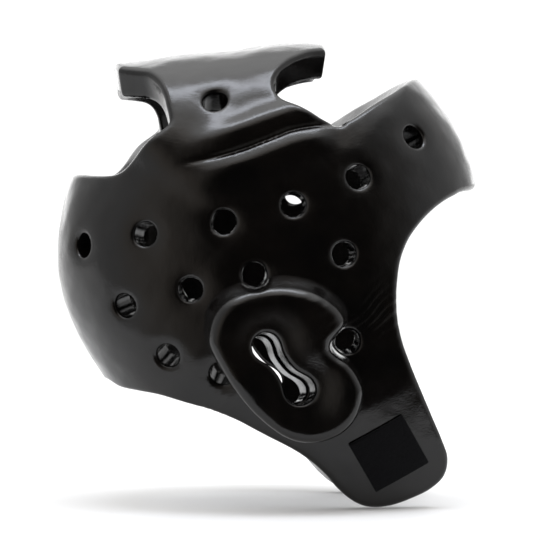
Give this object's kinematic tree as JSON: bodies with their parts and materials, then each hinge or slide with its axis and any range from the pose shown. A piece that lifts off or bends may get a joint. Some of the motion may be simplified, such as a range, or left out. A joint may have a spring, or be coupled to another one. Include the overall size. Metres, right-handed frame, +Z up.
{
  "type": "foam sparring headgear",
  "caption": "Open-crown padded sparring headgear of glossy dipped foam, with vent holes, raised ear pads and folding chin flaps that close with a hook-and-loop patch.",
  "frame": {"origin": "on the ground below the middle of the whole object, which stands on its chin flaps with the face tipped up", "axes": "+X towards the wearer's front, +Y to the wearer's left, +Z up"},
  "size_m": [0.2484, 0.237, 0.2752],
  "materials": {
    "vinyl_skin": "glossy black dipped vinyl with a fine grain",
    "foam": "closed-cell foam, matt",
    "loop_fabric": "black nylon loop pile, matt",
    "hook_tape": "black nylon hook tape, matt",
    "adhesive": "contact adhesive film"
  },
  "bodies": {
    "shell": {"right_shell_core": "foam", "right_shell_skin": "vinyl_skin", "left_shell_core": "foam", "left_shell_skin": "vinyl_skin", "right_ear_pad_core": "foam", "right_ear_pad_skin": "vinyl_skin", "left_ear_pad_core": "foam", "left_ear_pad_skin": "vinyl_skin", "right_ear_pad_bond": "adhesive", "left_ear_pad_bond": "adhesive", "forehead_bond": "adhesive", "crown_bond": "adhesive", "rear_bond": "adhesive"},
    "right_chin_flap": {"right_chin_flap_core": "foam", "right_chin_flap_skin": "vinyl_skin", "loop_patch": "loop_fabric", "loop_patch_bond": "adhesive"},
    "left_chin_flap": {"left_chin_flap_core": "foam", "left_chin_flap_skin": "vinyl_skin", "hook_patch": "hook_tape", "hook_patch_bond": "adhesive"}
  },
  "joints": [
    {"name": "right_chin_flap_fold", "type": "hinge", "parent": "shell", "child": "right_chin_flap", "pos_m": [0.05775, -0.071, 0.0532], "axis": [0.866, 0, 0.5], "range_deg": [-20, 60], "stiffness_Nm_per_rad": 1.5},
    {"name": "left_chin_flap_fold", "type": "hinge", "parent": "shell", "child": "left_chin_flap", "pos_m": [0.05775, 0.071, 0.0532], "axis": [-0.866, 0, -0.5], "range_deg": [-20, 60], "stiffness_Nm_per_rad": 1.5}
  ]
}
